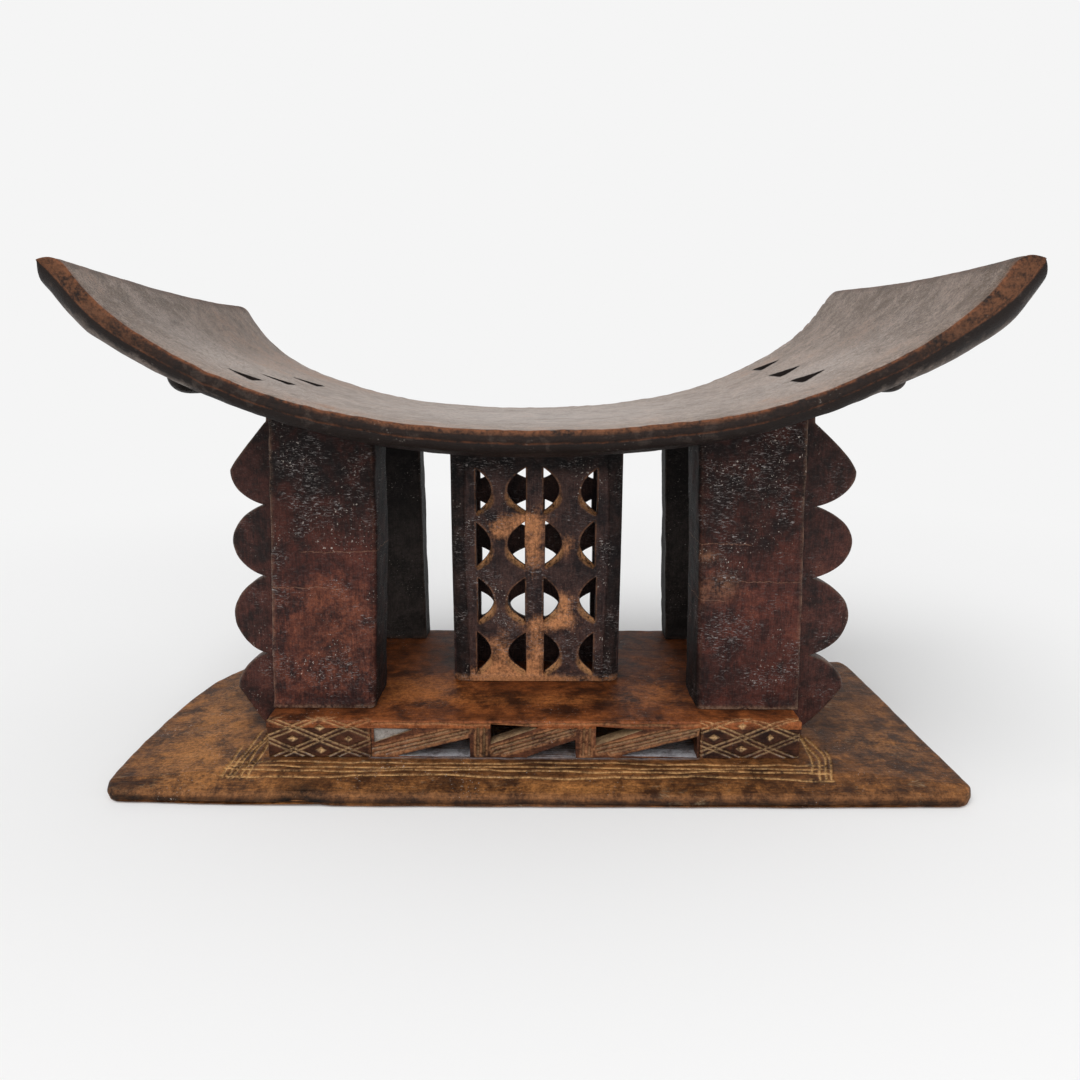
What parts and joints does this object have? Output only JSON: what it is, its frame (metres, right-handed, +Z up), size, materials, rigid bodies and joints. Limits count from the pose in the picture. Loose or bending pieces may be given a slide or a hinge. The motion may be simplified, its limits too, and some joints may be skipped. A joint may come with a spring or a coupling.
{
  "type": "ashanti stool",
  "caption": "Carved wooden stool with a curved seat and upswept ends, on slab legs with scalloped fins and a pierced central column, over a stepped base.",
  "frame": {"origin": "on the floor under the base board, at the middle of the stool's bounding box in plan", "axes": "+Z up; +X along the length of the seat, to the viewer's right from the front; the carved front of the plinth faces -Y"},
  "size_m": [0.5962, 0.29, 0.3569],
  "materials": {
    "seat": "worn, dark hand-rubbed patina",
    "seat_grip_left": "worn, dark hand-rubbed patina",
    "seat_grip_right": "worn, dark hand-rubbed patina",
    "front_left_leg": "worn, dark hand-rubbed patina",
    "front_right_leg": "worn, dark hand-rubbed patina",
    "back_left_leg": "worn, dark hand-rubbed patina",
    "back_right_leg": "worn, dark hand-rubbed patina",
    "front_left_fin": "worn, dark hand-rubbed patina",
    "front_right_fin": "worn, dark hand-rubbed patina",
    "back_left_fin": "worn, dark hand-rubbed patina",
    "back_right_fin": "worn, dark hand-rubbed patina",
    "column_front_wall": "worn, dark hand-rubbed patina",
    "column_back_wall": "worn, dark hand-rubbed patina",
    "column_left_wall": "worn, dark hand-rubbed patina",
    "column_right_wall": "worn, dark hand-rubbed patina",
    "plinth_top": "worn, dark hand-rubbed patina",
    "plinth_front_band": "worn, dark hand-rubbed patina",
    "plinth_back_band": "worn, dark hand-rubbed patina",
    "plinth_left_block": "worn, dark hand-rubbed patina",
    "plinth_right_block": "worn, dark hand-rubbed patina",
    "base_board": "worn, dark hand-rubbed patina"
  },
  "bodies": {
    "root": {"seat": "seat", "seat_grip_left": "seat_grip_left", "seat_grip_right": "seat_grip_right", "front_left_leg": "front_left_leg", "front_right_leg": "front_right_leg", "back_left_leg": "back_left_leg", "back_right_leg": "back_right_leg", "front_left_fin": "front_left_fin", "front_right_fin": "front_right_fin", "back_left_fin": "back_left_fin", "back_right_fin": "back_right_fin", "column_front_wall": "column_front_wall", "column_back_wall": "column_back_wall", "column_left_wall": "column_left_wall", "column_right_wall": "column_right_wall", "plinth_top": "plinth_top", "plinth_front_band": "plinth_front_band", "plinth_back_band": "plinth_back_band", "plinth_left_block": "plinth_left_block", "plinth_right_block": "plinth_right_block", "base_board": "base_board"}
  },
  "joints": []
}
